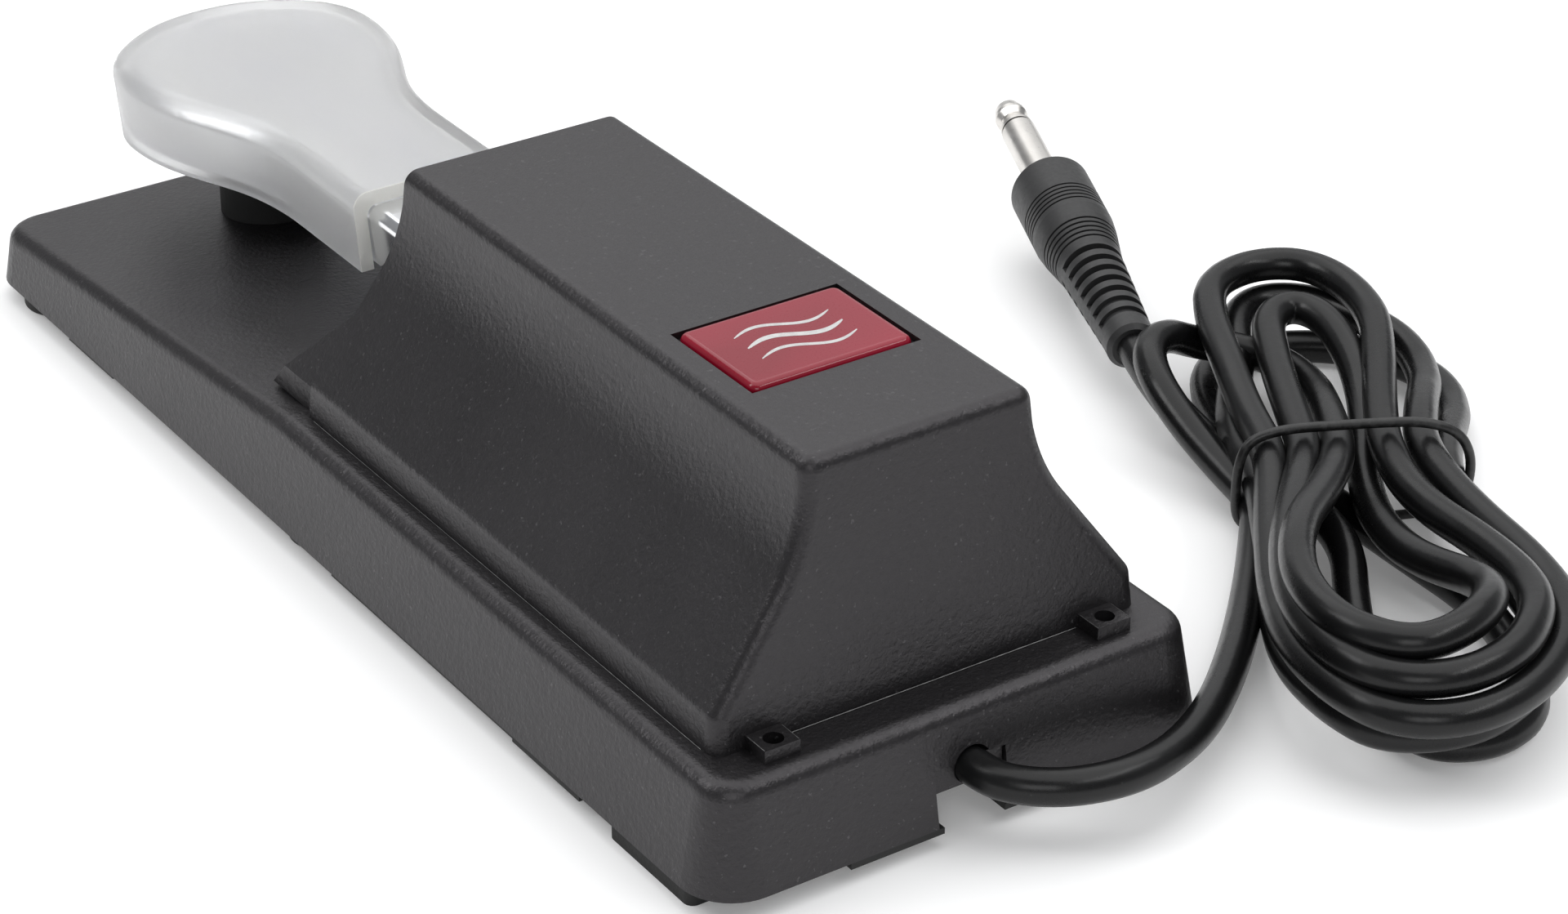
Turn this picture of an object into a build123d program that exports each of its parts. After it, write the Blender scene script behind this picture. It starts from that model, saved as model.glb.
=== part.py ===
from build123d import *
import math
import os

# Sustain pedal. X is across the pedal, -Y is the toe end, +Y is the cable end, +Z is up.
# The origin is on the floor under the middle of the base. Sizes are in millimetres.

# ---- base ----
BASE_W = 87.0
BASE_L = 234.0
FOOT_H = 3.3
DECK_Z = 20.0
NOSE_Z = 12.3
BREAK_Y = -12.0
WALL_DRAFT = 10.0
CORNER_R = 8.5
SHELL_T = 2.5
EDGE_R = 2.8
PLATE_T = 1.2

# ---- housing ----
HOUSING_FOOT = 36.3
HOUSING_SKIRT = 35.9
SKIRT_Z = 25.6
FLANK_TOP = (24.6, 41.2)
CHEEK_TOP = (19.6, 53.6)
ROOF_HALF = 19.2
ROOF_Z = 59.1
HOUSING_FRONT = -9.7
HOUSING_REAR = 106.3
FACE_LEAN = 3.6
HOUSING_T = 2.2
ROOF_R = 2.4
REAR_R = 3.2

# ---- badge recess ----
BADGE_Y = 72.0
BADGE_X_SIZE = 28.5
BADGE_Y_SIZE = 21.0
BADGE_DEPTH = 1.1

# ---- lever and cover ----
LEVER_TOP = 40.4
LEVER_T = 2.0
FLANGE_T = 1.7
LEVER_SKIRT = 30.1
LEVER_REAR = 84.0
COVER_T = 2.4
COVER_TOP = 42.8
COVER_SKIRT = 28.9
COVER_REAR = -33.4
COVER_DRAFT = 1.0
NECK_HALF = 14.5
NECK_END = -54.0
TOE_HALF = 24.4
TOE_WIDE_Y = -96.5
TOE_NOSE_Y = -117.0
FIT_GAP = 0.15

# ---- pivot ----
PIVOT_Y = 70.0
PIVOT_Z = 34.2
AXLE_R = 2.5
CHEEK_IN = 13.0
CHEEK_T = 2.0

# ---- cord and plug ----
CORD_D = 5.6
CORD_R = CORD_D / 2
EXIT = (-0.5, 113.5, 10.6)
HANK_CENTRE = (-100.7, 80.3)
HANK_TURN_DEG = 25.5
HANK_H = 22.0
PLUG_END = (-98.0, 27.3, 9.0)
PLUG_YAW_DEG = 22.0
PLUG_DIP_DEG = -4.0
BARREL_R = 7.2


def box(x0, x1, y0, y1, z0, z1):
    """A block between two corners."""
    block = Box(x1 - x0, y1 - y0, z1 - z0)
    return Pos((x0 + x1) / 2, (y0 + y1) / 2, (z0 + z1) / 2) * block


def post(x, y, z0, z1, radius):
    """A vertical cylinder."""
    return Pos(x, y, (z0 + z1) / 2) * Cylinder(radius, z1 - z0)


def side_prism(points, half_width):
    """A prism across X with the (y, z) outline given by points."""
    wire = Polyline([(-half_width, y, z) for y, z in points], close=True)
    return extrude(make_face(wire), 2 * half_width, dir=(1, 0, 0))


def screw(x, y, z, length, shaft_r=1.5, head_r=2.8, head_h=1.8, up=True):
    """A pan-head screw whose head's bearing face is at z."""
    way = 1 if up else -1
    shaft = Pos(x, y, z + way * length / 2) * Cylinder(shaft_r, length)
    head = Pos(x, y, z - way * head_h / 2) * Cylinder(head_r, head_h)
    slot = Pos(x, y, z - way * (head_h - 0.35)) * Box(2 * head_r + 1, 0.8, 0.7)
    return shaft + head - slot


def closed_face(pieces):
    """The flat face inside a closed run of lines and arcs."""
    return make_face(Wire([edge for piece in pieces for edge in piece.edges()]))


# ---------------------------------------------------------------- base

def base_form(inset, roof_drop):
    """The base's outer form, shrunk by inset and lowered by roof_drop."""
    outline = RectangleRounded(BASE_W - 2 * inset, BASE_L - 2 * inset, CORNER_R - inset)
    block = extrude(Pos(0, 0, FOOT_H) * outline, DECK_Z - FOOT_H + 2, taper=WALL_DRAFT)
    half = BASE_L / 2 + 1
    deck = DECK_Z - roof_drop
    nose = NOSE_Z - roof_drop
    side = side_prism([(-half, 0), (half, 0), (half, deck), (BREAK_Y, deck), (-half, nose)], BASE_W)
    return block & side


PLATE_BOSSES = [(sx * 33.0, y) for sx in (-1, 1) for y in (-86.0, -30.0, 79.0)]
HOUSING_SCREWS = [(sx * 29.0, y) for sx in (-1, 1) for y in (4.0, 86.0)]
BRACKET_SCREWS = [(sx * 20.0, y) for sx in (-1, 1) for y in (64.0, 76.0)]
STOP_SCREWS = [(sx * 21.0, 3.0) for sx in (-1, 1)]
SWITCH_SCREWS = [(sx * 6.2, 47.5) for sx in (-1, 1)]
CLAMP_SCREWS = [(sx * 8.6, 106.5) for sx in (-1, 1)]
SPRING_Y = 14.0
SWITCH_Y = 44.0
SWITCH_TOP = 26.8
BUMPER_Y = -91.5
BUMPER_R = 9.3
BUMPER_TOP = 25.5
NOTCH_HALF = 6.1
NOTCH_TOP = 12.1
WIRE_HOLE = (0.0, 57.0, 3.0)


def base_shell():
    outer = base_form(0, 0)
    top_edges = outer.edges().filter_by(lambda e: e.center().Z > NOSE_Z - 1)
    shell = fillet(top_edges.filter_by(lambda e: e.bounding_box().min.Z > NOSE_Z - 0.6), EDGE_R)
    bosses = [post(x, y, FOOT_H + PLATE_T, DECK_Z, 3.6) for x, y in PLATE_BOSSES]
    bosses += [post(x, y, 12.0, DECK_Z, 3.4) for x, y in CLAMP_SCREWS]
    bosses.append(post(0, BUMPER_Y, FOOT_H + PLATE_T + 4, DECK_Z, 4.0))
    ribs = [box(-40, 40, y - 0.8, y + 0.8, 9.5, DECK_Z) for y in (-62.0, 18.0, 58.0)]
    stiffening = Part() + bosses + ribs
    shell = shell - base_form(SHELL_T, SHELL_T) + (stiffening & base_form(1.0, 1.0))
    holes = [post(x, y, FOOT_H, 14.0 if y > 0 else 10.5, 1.45) for x, y in PLATE_BOSSES]
    through = HOUSING_SCREWS + BRACKET_SCREWS + STOP_SCREWS + SWITCH_SCREWS
    holes += [post(x, y, 12.0, DECK_Z + 1, 1.6) for x, y in through]
    holes += [post(x, y, 11.0, 17.0, 1.45) for x, y in CLAMP_SCREWS]
    holes.append(post(0, BUMPER_Y, FOOT_H, DECK_Z, 1.7))
    holes.append(post(WIRE_HOLE[0], WIRE_HOLE[1], 12, DECK_Z + 1, WIRE_HOLE[2]))
    shell = shell - holes
    notch = box(-NOTCH_HALF, NOTCH_HALF, 105, 120, FOOT_H - 1, NOTCH_TOP)
    relief = Pos(EXIT[0], 115, EXIT[2]) * Rot(90, 0, 0) * Cylinder(CORD_R + 0.5, 12)
    return shell - notch - relief


def bottom_plate():
    gap = SHELL_T + 0.5
    outline = RectangleRounded(BASE_W - 2 * gap, BASE_L - 2 * gap, CORNER_R - gap)
    plate = extrude(Pos(0, 0, FOOT_H) * outline, PLATE_T)
    plate = plate - box(-9.5, 9.5, 99, 120, 0, 10)
    return plate - [post(x, y, 0, 10, 1.7) for x, y in PLATE_BOSSES]


def plate_screws():
    return [screw(x, y, FOOT_H, 5.5, 1.4, 2.6, 1.2) for x, y in PLATE_BOSSES]


def rear_feet():
    foot = fillet(box(23.0, 42.6, 88.3, 109.5, 0, FOOT_H).edges().filter_by(Axis.Z), 1.5)
    return [foot, mirror(foot, Plane.YZ)]


def round_foot(x, y, radius):
    disc = post(x, y, 0, FOOT_H, radius)
    return fillet(disc.edges().sort_by(Axis.Z)[0], 0.6)


def front_feet():
    return [round_foot(sx * 35.6, -104.2, 6.8) for sx in (-1, 1)]


def middle_feet():
    return [round_foot(sx * 35.2, -7.5, 6.4) for sx in (-1, 1)]


def edge_pads():
    z0 = FOOT_H - 1.0
    strips = [box(38.5, 43.0, -86, -69, z0, FOOT_H), box(38.5, 43.0, 8, 63, z0, FOOT_H)]
    strips.append(box(38.5, 43.4, 63.5, 82, z0, FOOT_H))
    strips.append(box(5.2, 21.0, 112.0, 117.0, z0, FOOT_H))
    return strips + [mirror(strip, Plane.YZ) for strip in strips]


# ---------------------------------------------------------------- housing

def housing_profile():
    """The housing's cross-section: skirt, straight flank, hollow cheek and flat roof."""
    foot = (HOUSING_FOOT, 0, DECK_Z)
    skirt = (HOUSING_SKIRT, 0, SKIRT_Z)
    flank = (FLANK_TOP[0], 0, FLANK_TOP[1])
    cheek = (CHEEK_TOP[0], 0, CHEEK_TOP[1])
    roof = (ROOF_HALF, 0, ROOF_Z)
    slope = (flank[0] - skirt[0], 0, flank[2] - skirt[2])
    right = [
        Line(foot, skirt),
        Line(skirt, flank),
        TangentArc(flank, cheek, tangent=slope),
        Line(cheek, roof),
    ]
    left = [mirror(edge, Plane.YZ) for edge in right]
    roof_line = Line(roof, (-ROOF_HALF, 0, ROOF_Z))
    foot_line = Line((-HOUSING_FOOT, 0, DECK_Z), foot)
    return closed_face(right + [roof_line] + left + [foot_line])


def housing_side(front, rear, top, lean=FACE_LEAN):
    """A prism that trims the housing's ends to their lean."""
    points = [(front, DECK_Z), (rear, DECK_Z), (rear - lean, top), (front + lean, top)]
    return side_prism(points, 60)


def housing_form(inset):
    """The housing's form, shrunk by inset. The shrunk form runs out through the open foot."""
    face = housing_profile()
    if inset:
        face = offset(face, -inset, kind=Kind.INTERSECTION)
    bar = extrude(Pos(0, -40, 0) * face, 200, dir=(0, 1, 0))
    form = bar & housing_side(HOUSING_FRONT + inset, HOUSING_REAR - inset, ROOF_Z)
    if inset:
        half = HOUSING_FOOT - inset
        floor = box(-half, half, HOUSING_FRONT + inset, HOUSING_REAR - inset, DECK_Z - 1, SKIRT_Z - 2)
        form = form + floor
    return form


def housing_lugs():
    lug = box(25.4, 31.2, HOUSING_REAR - 1, 111.0, DECK_Z, DECK_Z + 2.1)
    lug = lug - post(28.3, 108.7, DECK_Z - 1, DECK_Z + 4, 1.5)
    return lug + mirror(lug, Plane.YZ)


SLOT_HALF = 13.6
SLOT_TOP = 43.2


def upper_housing():
    outer = housing_form(0)
    roof = outer.edges().filter_by(lambda e: e.center().Z > ROOF_Z - 1)
    roof_ends = roof.filter_by(lambda e: e.center().Y > 0)
    rear = outer.edges().filter_by(lambda e: e.center().Y > HOUSING_REAR - FACE_LEAN - 0.5)
    rear = rear.filter_by(lambda e: e.center().Z < ROOF_Z - 1 and e.center().Z > DECK_Z + 1)
    skirt = outer.edges().filter_by(lambda e: abs(e.center().Z - SKIRT_Z) < 0.1)
    skirt = skirt.filter_by(lambda e: e.length > 50)
    outer = fillet(roof_ends + rear + skirt, ROOF_R)
    shell = outer - housing_form(HOUSING_T)
    bosses = [post(x, y, DECK_Z, 40.0, 3.4) for x, y in HOUSING_SCREWS]
    shell = shell + (Part() + bosses & housing_form(0.8))
    shell = shell - [post(x, y, DECK_Z - 1, 29.0, 1.45) for x, y in HOUSING_SCREWS]
    slot = box(-SLOT_HALF, SLOT_HALF, -20, -1, DECK_Z - 1, SLOT_TOP)
    recess = Pos(0, BADGE_Y, ROOF_Z) * Box(BADGE_X_SIZE, BADGE_Y_SIZE, 2 * BADGE_DEPTH)
    return shell - slot - recess + housing_lugs()


def housing_screws():
    return [screw(x, y, DECK_Z - SHELL_T, 10.5, 1.4, 2.6, 1.6) for x, y in HOUSING_SCREWS]


APRON_FRONT = -23.6
APRON_TOP = 35.6


def mouth_apron():
    """A sloped shell with the housing's cross-section, set in a little from it."""
    face = offset(housing_profile(), -1.0, kind=Kind.INTERSECTION)
    rear = HOUSING_FRONT - 0.1
    wedge = [(APRON_FRONT, DECK_Z), (rear, DECK_Z), (rear, APRON_TOP)]
    inner = [(APRON_FRONT + 3.0, DECK_Z - 1), (rear + 1, DECK_Z - 1), (rear + 1, APRON_TOP - 2.0)]
    bar = extrude(Pos(0, -40, -1) * face, 60, dir=(0, 1, 0))
    hollow = extrude(Pos(0, -40, -3) * offset(face, -2.0, kind=Kind.INTERSECTION), 60, dir=(0, 1, 0))
    apron = (bar & side_prism(wedge, 60)) - (hollow & side_prism(inner, 60))
    return apron - box(-SLOT_HALF, SLOT_HALF, -40, 0, 21.6, 60)


def badge():
    plate = box(-13.7, 13.7, BADGE_Y - 9.9, BADGE_Y + 9.9, ROOF_Z - BADGE_DEPTH, ROOF_Z + 0.5)
    plate = fillet(plate.edges().filter_by(Axis.Z), 1.6)
    return fillet(plate.faces().sort_by(Axis.Z)[-1].edges(), 1.2)


# ---------------------------------------------------------------- lever and cover

def toe_outline(inset, rear, z):
    """The pedal's plan outline: parallel neck, flared flanks and a round nose."""
    neck = NECK_HALF - inset
    wide = TOE_HALF - inset
    nose = TOE_NOSE_Y + inset
    mid = (neck + 0.22 * (wide - neck), (NECK_END + TOE_WIDE_Y) / 2 + 5.5)
    flank = Spline([(neck, NECK_END), mid, (wide, TOE_WIDE_Y)], tangents=[(0, -1), (0, -1)])
    slant = math.sqrt(0.5)
    bow = (slant * wide, TOE_WIDE_Y - slant * (TOE_WIDE_Y - nose))
    cap = Spline([(wide, TOE_WIDE_Y), bow, (0, nose)], tangents=[(0, -1), (-1, 0)])
    edges = [Line((neck, rear), (neck, NECK_END)), flank, cap]
    edges += [mirror(edge, Plane.YZ) for edge in edges]
    edges.append(Line((-neck, rear), (neck, rear)))
    return Pos(0, 0, z) * closed_face(edges)


def pedal_block(inset, rear, z0, z1):
    """The pedal's solid form between two heights, narrower at the foot by the cover's draft."""
    foot_inset = inset + COVER_DRAFT
    return loft([toe_outline(foot_inset, rear, z0), toe_outline(inset, rear, z1)], ruled=True)


def pedal_cover():
    outer = pedal_block(0, COVER_REAR, COVER_SKIRT, COVER_TOP)
    top = outer.faces().sort_by(Axis.Z)[-1].edges()
    outer = fillet(top.filter_by(lambda e: e.center().Y < COVER_REAR - 0.1), 2.6)
    inner = pedal_block(COVER_T, COVER_REAR + 10, COVER_SKIRT - 1, COVER_TOP - COVER_T)
    top = inner.faces().sort_by(Axis.Z)[-1].edges()
    inner = fillet(top.filter_by(lambda e: e.center().Y < COVER_REAR), 2.0)
    return outer - inner


def pedal_lever():
    inset = COVER_T + FIT_GAP
    outer = pedal_block(inset, LEVER_REAR, LEVER_SKIRT, LEVER_TOP - FIT_GAP)
    top = outer.faces().sort_by(Axis.Z)[-1].edges()
    outer = fillet(top.filter_by(lambda e: e.center().Y < LEVER_REAR - 0.1), 2.0)
    inner = pedal_block(inset + FLANGE_T, LEVER_REAR + 5, LEVER_SKIRT - 5, LEVER_TOP - LEVER_T)
    lever = outer - inner
    tab = box(-4, 4, SWITCH_Y - 1, SWITCH_Y + 1, 33.2, LEVER_TOP - 1)
    lever = lever + tab
    hole = Pos(0, PIVOT_Y, PIVOT_Z) * Rot(0, 90, 0) * Cylinder(AXLE_R, 60)
    return lever - hole


def cross_rod(x0, x1, radius):
    """A cylinder along the pivot line."""
    return Pos((x0 + x1) / 2, PIVOT_Y, PIVOT_Z) * Rot(0, 90, 0) * Cylinder(radius, x1 - x0)


def pivot_axle():
    half = CHEEK_IN + CHEEK_T + 3.0
    axle = cross_rod(-half, half, AXLE_R)
    for sx in (-1, 1):
        centre = sx * (half - 1.3)
        groove = cross_rod(centre - 0.4, centre + 0.4, AXLE_R + 1)
        axle = axle - (groove - cross_rod(centre - 0.5, centre + 0.5, AXLE_R - 0.6))
    return axle


def axle_clips():
    clips = []
    for sx in (-1, 1):
        centre = sx * (CHEEK_IN + CHEEK_T + 1.7)
        clip = cross_rod(centre - 0.35, centre + 0.35, 4.6)
        clip = clip - cross_rod(centre - 1, centre + 1, AXLE_R - 0.58)
        mouth = Pos(centre, PIVOT_Y, PIVOT_Z - 3) * Box(2, 3.0, 6)
        clips.append(clip - mouth)
    return clips


def pivot_bracket():
    reach = CHEEK_IN + CHEEK_T
    floor = box(-reach - 10, reach + 10, PIVOT_Y - 10, PIVOT_Y + 10, DECK_Z, DECK_Z + 2)
    bracket = floor
    for sx in (-1, 1):
        inner, outer = sorted((sx * CHEEK_IN, sx * reach))
        cheek = box(inner, outer, PIVOT_Y - 9, PIVOT_Y + 9, DECK_Z, PIVOT_Z)
        bracket = bracket + cheek + cross_rod(inner, outer, 7.5)
    bracket = bracket - cross_rod(-30, 30, AXLE_R + 1.5)
    return bracket - [post(x, y, DECK_Z - 1, DECK_Z + 4, 1.7) for x, y in BRACKET_SCREWS]


def bracket_screws():
    return [screw(x, y, DECK_Z + 2, 7.0, up=False) for x, y in BRACKET_SCREWS]


def pivot_bushes():
    bushes = []
    for sx in (-1, 1):
        inner, outer = sorted((sx * (CHEEK_IN - 0.6), sx * (CHEEK_IN + CHEEK_T + 0.5)))
        rim = sorted((sx * (CHEEK_IN - 0.6), sx * CHEEK_IN))
        bush = cross_rod(inner, outer, AXLE_R + 1.5) + cross_rod(rim[0], rim[1], AXLE_R + 3)
        bushes.append(bush - cross_rod(-30, 30, AXLE_R + 0.06))
    return bushes


# ---------------------------------------------------------------- spring, stops and switch

SPRING_FOOT = DECK_Z + 2.0
SPRING_HEAD = 37.0
SPRING_R = 6.0
SPRING_WIRE_R = 0.8


def return_spring():
    rise = SPRING_HEAD - SPRING_FOOT - 2 * SPRING_WIRE_R
    coil = Helix(pitch=rise / 5, height=rise, radius=SPRING_R)
    start = Plane(origin=coil @ 0, z_dir=coil % 0)
    wire = sweep(start * Circle(SPRING_WIRE_R), path=coil)
    return Pos(0, SPRING_Y, SPRING_FOOT + SPRING_WIRE_R + 0.02) * wire


def spring_seat():
    return post(0, SPRING_Y, DECK_Z, SPRING_FOOT, 8.0) + post(0, SPRING_Y, DECK_Z, 27.0, 4.2)


def spring_guide():
    top = LEVER_TOP - LEVER_T
    return post(0, SPRING_Y, SPRING_HEAD + 0.3, top, 8.0) + post(0, SPRING_Y, 34.0, top, 3.8)


def stop_bridge():
    bridge = box(-16.5, 16.5, -1, 7, 44.4, 46.4)
    for sx in (-1, 1):
        leg = box(*sorted((sx * 14.5, sx * 16.5)), -1, 7, DECK_Z, 46.4)
        foot = box(*sorted((sx * 14.5, sx * 24.5)), -1, 7, DECK_Z, DECK_Z + 2)
        bridge = bridge + leg + foot
    return bridge - [post(x, y, DECK_Z - 1, DECK_Z + 4, 1.7) for x, y in STOP_SCREWS]


def stop_screws():
    return [screw(x, y, DECK_Z + 2, 7.0, up=False) for x, y in STOP_SCREWS]


def stop_pad():
    return box(-10, 10, -0.5, 6.5, LEVER_TOP + 0.3, 44.4)


def toe_bumper():
    lean = (DECK_Z - NOSE_Z) / (BASE_L / 2 + 1 + BREAK_Y)
    foot_z = DECK_Z - (BREAK_Y - BUMPER_Y) * lean
    body = post(0, BUMPER_Y, foot_z - 3, BUMPER_TOP, BUMPER_R)
    body = fillet(body.edges().sort_by(Axis.Z)[-1], 1.6)
    half = BASE_L / 2 + 1
    above_deck = side_prism([(-half, NOSE_Z), (BREAK_Y, DECK_Z), (BREAK_Y, 60), (-half, 60)], 60)
    return (body & above_deck) - post(0, BUMPER_Y, 0, 20.0, 1.5)


def bumper_screw():
    return screw(0, BUMPER_Y, FOOT_H + PLATE_T + 4, 11.5, 1.45, 3.2, 1.8)


def switch_body():
    body = box(-10.5, 10.5, SWITCH_Y - 4, SWITCH_Y + 6, DECK_Z, SWITCH_TOP)
    body = chamfer(body.edges().filter_by(Axis.Z), 0.6)
    body = body - post(0, SWITCH_Y, 23.5, 29, 1.75)
    return body - [post(x, y, DECK_Z - 1, 29, 1.7) for x, y in SWITCH_SCREWS]


def switch_plunger():
    stem = post(0, SWITCH_Y, 25.7, 32.9, 1.65)
    return fillet(stem.edges().sort_by(Axis.Z)[-1], 0.8)


def switch_screws():
    return [screw(x, y, SWITCH_TOP, 11.5, 1.5, 2.3, up=False) for x, y in SWITCH_SCREWS]


def terminal_lugs():
    return [box(x - 1.2, x + 1.2, SWITCH_Y + 6, SWITCH_Y + 10, 22.5, 23.1) for x in (-4.0, 4.0)]


def tube(points, radii, radius):
    """A round tube along straight runs joined by tangent arcs. Returns the tube and its length."""
    path = FilletPolyline(*points, radius=radii)
    start = Plane(origin=path @ 0, z_dir=path % 0)
    return sweep(start * Circle(radius), path=path), path.length


def bend_radii(points):
    """The largest arc that the two runs at each inner point allow."""
    radii = []
    for before, here, after in zip(points, points[1:], points[2:]):
        first = Vector(*here) - Vector(*before)
        second = Vector(*after) - Vector(*here)
        turn = math.radians(first.get_angle(second))
        radii.append(0.45 * min(first.length, second.length) / math.tan(turn / 2))
    return radii


def lead_wires():
    wires = []
    for sx in (-1, 1):
        points = [
            (EXIT[0] + sx * 1.2, 104.0, EXIT[2]),
            (EXIT[0] + sx * 1.2, 74.0, 11.5),
            (sx * 1.2, 58.5, 13.0),
            (sx * 1.3, 57.0, 22.2),
            (sx * 4.0, 54.2, 23.6),
        ]
        wires.append(tube(points, bend_radii(points), 0.6)[0])
    return wires


# ---------------------------------------------------------------- cord

def cord_clamp():
    """The block that closes the notch round the cord and grips it."""
    block = box(-5.9, 5.9, 109.0, 115.0, 7.8, 12.0)
    block = block + box(-11.5, 11.5, 102.5, 110.6, 6.0, 12.0)
    bore = Pos(EXIT[0], 109, EXIT[2]) * Rot(90, 0, 0) * Cylinder(CORD_R + 0.05, 20)
    block = block - bore
    return block - [post(x, y, 5, 13, 1.6) for x, y in CLAMP_SCREWS]


def clamp_screws():
    return [screw(x, y, 6.0, 9.5, 1.4, 2.4, 1.4) for x, y in CLAMP_SCREWS]


def cord_inner():
    """The end of the cord's jacket inside the clamp."""
    return Pos(EXIT[0], (104 + EXIT[1]) / 2, EXIT[2]) * Rot(90, 0, 0) * Cylinder(CORD_R, EXIT[1] - 104)


LEAD_ROUTE = [
    EXIT,
    (-0.5, 119.0, 10.6),
    (-3.6, 123.4, 10.4),
    (-9.6, 126.8, 9.9),
    (-18.5, 128.2, 9.3),
    (-27.5, 126.2, 8.6),
    (-37.5, 121.2, 7.8),
    (-48.5, 112.6, 6.4),
    (-60.5, 101.6, 5.0),
    (-72.5, 89.5, 3.8),
    (-82.5, 78.6, 3.2),
]


def to_hank(u, v):
    """A point of the hank's own plan frame in the pedal's frame: u is along it, v is across."""
    turn = math.radians(HANK_TURN_DEG)
    along = (math.sin(turn), math.cos(turn))
    across = (-math.cos(turn), math.sin(turn))
    x = HANK_CENTRE[0] + u * along[0] + v * across[0]
    y = HANK_CENTRE[1] + u * along[1] + v * across[1]
    return x, y


def plug_way():
    """The direction from the cord's end of the plug to its tip."""
    yaw = math.radians(PLUG_YAW_DEG)
    dip = math.radians(PLUG_DIP_DEG)
    return Vector(-math.cos(dip) * math.sin(yaw), -math.cos(dip) * math.cos(yaw), -math.sin(dip))


TAIL_ROUTE = [
    to_hank(-10.0, -12.8) + (4.2,),
    to_hank(-20.0, -17.4) + (3.8,),
    to_hank(-29.5, -21.8) + (5.8,),
    tuple(Vector(*PLUG_END) - 7.0 * plug_way()),
    PLUG_END,
]


def cord_lead():
    solid, length = tube(LEAD_ROUTE, bend_radii(LEAD_ROUTE), CORD_R)
    report_tube("cord_lead", LEAD_ROUTE, solid, length)
    return solid


def cord_tail():
    solid, length = tube(TAIL_ROUTE, bend_radii(TAIL_ROUTE), CORD_R)
    report_tube("cord_tail", TAIL_ROUTE, solid, length)
    return solid


def report_tube(name, points, solid, length):
    """Prints the bends of a tube, and its volume against its section times its length."""
    radii = [round(radius, 1) for radius in bend_radii(points)]
    ratio = solid.volume / (math.pi * CORD_R ** 2 * length)
    print(name, "radii", radii, "length", round(length, 1), "volume ratio", round(ratio, 3))


TIE_W = 38.0
TIE_H = 16.4
TIE_R = 6.0
TIE_Z = 9.0
TIE_WIRE_R = 0.8
TIE_GROOVE = 2.0


def cord_hank():
    """The outer form of the tied hank: a wide lower lobe, an upper lobe and a waist."""
    lower = Pos(38.5, -3.0) * Ellipse(38.5, 23.0)
    upper = Pos(-32.0, 5.0) * Ellipse(32.0, 22.0)
    waist = Rectangle(34, 34)
    body = extrude(Sketch() + [lower, upper, waist], HANK_H)
    ring = Plane.YZ.offset(-TIE_GROOVE) * RectangleRounded(TIE_W - 2.2, TIE_H - 2.2, TIE_R - 1.1)
    kept = Pos(0, 0, TIE_Z) * extrude(ring, 2 * TIE_GROOVE)
    body = body - (box(-TIE_GROOVE, TIE_GROOVE, -40, 40, -1, 30) - kept)
    x, y = HANK_CENTRE
    return Pos(x, y, 0) * Rot(0, 0, 90 - HANK_TURN_DEG) * body


def cord_tie():
    """A wire tie round the hank's waist."""
    ring = RectangleRounded(TIE_W, TIE_H, TIE_R).wire()
    start = Plane(origin=ring @ 0, z_dir=ring % 0)
    loop = sweep(start * Circle(TIE_WIRE_R), path=ring)
    x, y = HANK_CENTRE
    stand = Pos(0, 0, TIE_Z) * Rot(90, 0, 0) * loop
    return Pos(x, y, 0) * Rot(0, 0, -HANK_TURN_DEG) * stand


# ---------------------------------------------------------------- plug

def plug_place():
    """The plug's own frame: +Z runs from the cord's end to the tip."""
    return Plane(origin=PLUG_END, z_dir=plug_way()).location


def turned(outline):
    """A solid turned about Z from (radius, height) points."""
    wire = Polyline([(r, 0, z) for r, z in outline], close=True)
    return revolve(make_face(wire), Axis.Z)


RELIEF_END = 3.5
RELIEF_TOP = 26.0
TAPER_TOP = 37.2
BARREL_TOP = 54.5
RING_AT = BARREL_TOP + 21.0
TIP_AT = RING_AT + 0.8
TIP_END = BARREL_TOP + 30.2
SLEEVE_R = 3.175
SHANK_R = 2.4
NOSE_R = 3.0
WEB_TURN_DEG = 0.0


def plug_barrel():
    outline = [(0, 0), (3.6, 0), (4.4, 0.8), (4.4, RELIEF_END), (5.6, RELIEF_TOP)]
    outline += [(6.9, TAPER_TOP - 3), (BARREL_R, TAPER_TOP), (BARREL_R, BARREL_TOP - 1.2)]
    outline += [(BARREL_R - 1.0, BARREL_TOP), (0, BARREL_TOP)]
    barrel = turned(outline)
    for index in range(7):
        z = RELIEF_END + 1.8 + index * 3.2
        ring = Pos(0, 0, z) * (Cylinder(9, 1.6) - Cylinder(3.9, 2))
        web = Pos(0, 0, z) * Rot(0, 0, WEB_TURN_DEG) * Box(20, 2.4, 3)
        barrel = barrel - (ring - web)
    slope = (6.9 - 5.6) / (TAPER_TOP - 3 - RELIEF_TOP)
    for index in range(5):
        z = TAPER_TOP + 1.6 + index * 1.2
        barrel = barrel - Pos(0, 0, z) * (Cylinder(9, 0.45) - Cylinder(BARREL_R - 0.5, 1))
        z = RELIEF_TOP + 1.8 + index * 1.2
        radius = 5.6 + slope * (z - RELIEF_TOP)
        barrel = barrel - Pos(0, 0, z) * (Cylinder(9, 0.45) - Cylinder(radius - 0.5, 1))
    barrel = barrel - Pos(0, 0, BARREL_TOP - 4) * Cylinder(SHANK_R, 20)
    return plug_place() * barrel


def plug_sleeve():
    outline = [(0, BARREL_TOP - 14), (SHANK_R, BARREL_TOP - 14), (SHANK_R, BARREL_TOP)]
    outline += [(SLEEVE_R, BARREL_TOP), (SLEEVE_R, RING_AT), (0, RING_AT)]
    return plug_place() * turned(outline)


def plug_insulator():
    outline = [(0, RING_AT), (2.8, RING_AT), (2.8, TIP_AT), (0, TIP_AT)]
    return plug_place() * turned(outline)


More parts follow.
